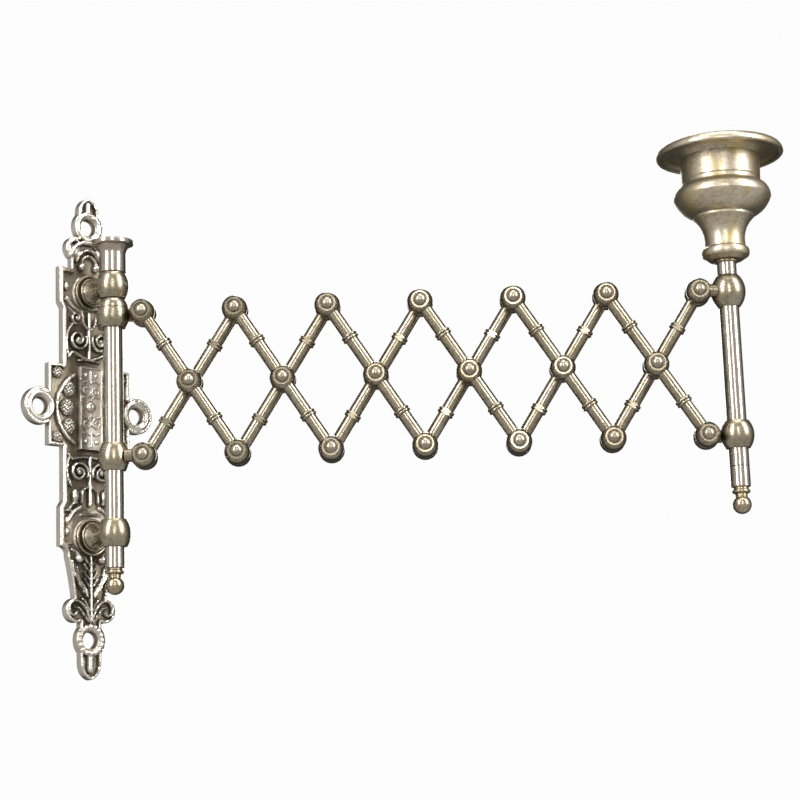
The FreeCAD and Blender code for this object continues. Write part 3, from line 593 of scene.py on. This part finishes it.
def face_points(loops):
    """Points on the plate's face between the outlines, and their distances from the nearest outline."""
    points = np.vstack([contour_points(loops), grid_points(loops)])
    edge = np.min([distance(points, np.vstack([loop, loop[:1]])) for loop in loops], axis=0)
    points, edge = points[edge > EDGE_MARGIN], edge[edge > EDGE_MARGIN]
    kept = first_in_cell(points)
    return points[kept], edge[kept]


def triangles(points, borders, loops):
    """Delaunay triangles of the points that lie inside the loops, as index triples."""
    made = geometry.delaunay_2d_cdt([Vector(p) for p in points], borders, [], 0, SAME_PLACE)
    source = [origins[0] for origins in made[3]]
    corners = np.array(made[2])
    placed = np.array([tuple(p) for p in made[0]])
    kept = corners[inside(placed[corners].mean(axis=1), loops)]
    return [tuple(source[i] for i in face) for face in kept]


def add_piece(name, vertices, faces, finish, sharp_angle):
    """A new object with its faces turned outwards and smooth up to sharp_angle degrees."""
    mesh = bpy.data.meshes.new(name)
    mesh.from_pydata(vertices, [], faces)
    work = bmesh.new()
    work.from_mesh(mesh)
    bmesh.ops.recalc_face_normals(work, faces=work.faces)
    work.to_mesh(mesh)
    work.free()
    mesh.shade_smooth()
    mesh.set_sharp_from_angle(angle=math.radians(sharp_angle))
    mesh.materials.append(FINISHES[finish])
    piece = bpy.data.objects.new(name, mesh)
    bpy.context.collection.objects.link(piece)
    return piece


def make_relief_plate():
    """The back plate as cast: its outline and holes from the frame, ornament on its face, flat behind."""
    loops = outline_loops("back_plate")
    outline = np.vstack(loops)
    borders, start = [], 0
    for loop in loops:
        size = len(loop)
        borders += [(start + i, start + (i + 1) % size) for i in range(size)]
        start += size
    face, edge = face_points(loops)
    points = np.vstack([outline, face])
    height = relief_height(points, np.concatenate([np.zeros(len(outline)), edge]))
    count = len(points)
    vertices = [(x * MM, -h * MM, z * MM) for (x, z), h in zip(points, height)]
    vertices += [(x * MM, 0.0, z * MM) for x, z in outline]
    faces = triangles(points, borders, loops)
    faces += [(c + count, b + count, a + count) for a, b, c in triangles(outline, borders, loops)]
    faces += [(b, a, a + count, b + count) for a, b in borders]
    plate = add_piece("relief_plate", vertices, faces, "cast_plate", sharp_angle=50)
    on_panel = from_panel_side(*mirrored(points).T) > 0
    rubbed = height - PANEL_DARKENING * on_panel
    levels = plate.data.attributes.new("relief", "FLOAT", "POINT")
    levels.data.foreach_set("value", np.concatenate([rubbed, np.full(len(outline), RIM_TOP)]))
    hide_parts("back_plate")
    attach(plate, "wall_side")


def make_cap_milling():
    """A ring of fine teeth standing on the edge of the spindle cap."""
    low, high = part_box("spindle_cap")
    centre = (low + high) / 2
    radius = (high.x - low.x) / 2
    inner, outer = radius - 0.95 * MM, radius - 0.15 * MM
    section = ((inner, 0.0), (inner, 1.0), (outer, 1.0), (outer, 0.0))     # (radius, share of the rise)
    floor, rise = high.z - 0.25 * MM, 0.55 * MM
    mean_share, tooth_share = 0.62, 0.38
    teeth, steps = 44, 6
    count, sides = teeth * steps, len(section)
    vertices, faces = [], []
    for i in range(count):
        angle = math.tau * i / count
        crown = mean_share + tooth_share * math.cos(teeth * angle)
        for r, lift in section:
            vertices.append((centre.x + r * math.cos(angle), centre.y + r * math.sin(angle),
                             floor + rise * lift * crown))
        here, there = sides * i, sides * ((i + 1) % count)
        for k in range(sides):
            up = (k + 1) % sides
            faces.append((here + k, there + k, there + up, here + up))
    ring = add_piece("cap_milling", vertices, faces, "bright_tube", sharp_angle=40)
    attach(ring, "wall_side")


make_relief_plate()
make_cap_milling()


# ---------------------------------------------------------------- stage, lights and camera

FLOOR_HALF, FLOOR_DROP = 16.0, 0.45
SKY = (0.98, 0.98, 0.98, 1.0)
# What the metal mirrors: a light room in front of the sconce, and darkness the other way, along TO_BACK.
ROOM_FRONT, ROOM_BACK = (0.56, 0.55, 0.54, 1.0), (0.07, 0.07, 0.07, 1.0)
TO_BACK = (0.675, 0.714, 0.184)
# Softboxes: name, place, width, height, watts and colour.
SOFTBOXES = [
    ("key", (0.42, -1.25, 0.62), 0.28, 1.15, 18.0, (1.0, 1.0, 1.0)),
    ("fill", (-1.18, -0.15, 0.60), 0.24, 1.30, 15.0, (1.0, 1.0, 1.0)),
    ("strip", (-0.75, -1.05, 0.35), 0.10, 0.9, 4.0, (1.0, 0.98, 0.95)),
    ("top", (0.0, -0.3, 1.3), 0.8, 0.8, 9.0, (1.0, 1.0, 1.0)),
    ("rim", (0.9, 0.75, 0.5), 0.4, 1.0, 6.0, (1.0, 1.0, 1.0)),
]


def make_stage():
    """A wide pale floor below the sconce."""
    half, level = FLOOR_HALF, cad_low.z - FLOOR_DROP
    mesh = bpy.data.meshes.new("floor")
    corners = [(-half, -half, level), (half, -half, level), (half, half, level), (-half, half, level)]
    mesh.from_pydata(corners, [], [(0, 1, 2, 3)])
    floor = bpy.data.objects.new("floor", mesh)
    bpy.context.collection.objects.link(floor)
    g = Graph("pale_floor")
    clouds = g.ramp(g.noise(size=400.0), low=0.3, high=0.7)
    tone = g.mix(clouds, (0.90, 0.90, 0.90), (0.94, 0.94, 0.94))
    mesh.materials.append(g.finish(tone, 0.7, [(g.noise(size=3.0), 0.05)], metallic=0.0))
    floor.visible_glossy = False


def make_world():
    """Plain white light all round, and a darker room in the metal's reflections."""
    world = bpy.data.worlds.new("studio")
    bpy.context.scene.world = world
    world.use_nodes = True
    nodes, links = world.node_tree.nodes, world.node_tree.links
    nodes.clear()
    rays = nodes.new("ShaderNodeLightPath")
    sky = nodes.new("ShaderNodeBackground")
    sky.inputs["Color"].default_value = SKY
    direction = nodes.new("ShaderNodeTexCoord")
    behind = nodes.new("ShaderNodeVectorMath")
    behind.operation = "DOT_PRODUCT"
    links.new(direction.outputs["Generated"], behind.inputs[0])
    behind.inputs[1].default_value = TO_BACK
    ramp = nodes.new("ShaderNodeValToRGB")
    links.new(behind.outputs["Value"], ramp.inputs["Fac"])
    front, back = ramp.color_ramp.elements
    front.position, front.color = 0.0, ROOM_FRONT
    back.position, back.color = 0.5, ROOM_BACK
    room = nodes.new("ShaderNodeBackground")
    links.new(ramp.outputs["Color"], room.inputs["Color"])
    mixed = nodes.new("ShaderNodeMixShader")
    links.new(rays.outputs["Is Glossy Ray"], mixed.inputs["Fac"])
    links.new(sky.outputs["Background"], mixed.inputs[1])
    links.new(room.outputs["Background"], mixed.inputs[2])
    output = nodes.new("ShaderNodeOutputWorld")
    links.new(mixed.outputs["Shader"], output.inputs["Surface"])


def make_lights():
    """Tall narrow softboxes on both sides of the camera, a soft top light and a rim light from behind."""
    middle = (cad_low + cad_high) / 2
    for name, place, width, height, watts, colour in SOFTBOXES:
        lamp = bpy.data.lights.new(name, "AREA")
        lamp.shape = "RECTANGLE"
        lamp.size, lamp.size_y = width, height
        lamp.energy, lamp.color = watts, colour
        thing = bpy.data.objects.new(name, lamp)
        thing.location = place
        thing.rotation_euler = (middle - Vector(place)).to_track_quat("-Z", "Y").to_euler()
        bpy.context.collection.objects.link(thing)


def make_camera():
    """Long lens from below and to the left of the arm, with a slight roll."""
    aim = Vector((0.0671, -0.0808, -0.0020))
    distance_back, azimuth, elevation, roll = 0.650, -43.4, -10.6, 1.98
    a, e = math.radians(azimuth), math.radians(elevation)
    back = Vector((math.sin(a) * math.cos(e), -math.cos(a) * math.cos(e), math.sin(e)))
    data = bpy.data.cameras.new("camera")
    data.sensor_width, data.lens = 36.0, 90.0
    data.clip_start, data.clip_end = 0.01, 100.0
    camera = bpy.data.objects.new("camera", data)
    turn = (-back).to_track_quat("-Z", "Y").to_matrix() @ Matrix.Rotation(math.radians(-roll), 3, "Z")
    camera.matrix_world = Matrix.Translation(aim + back * distance_back) @ turn.to_4x4()
    bpy.context.collection.objects.link(camera)
    bpy.context.scene.camera = camera


make_stage()
make_world()
make_lights()
make_camera()
bpy.context.scene.view_settings.view_transform = "Standard"
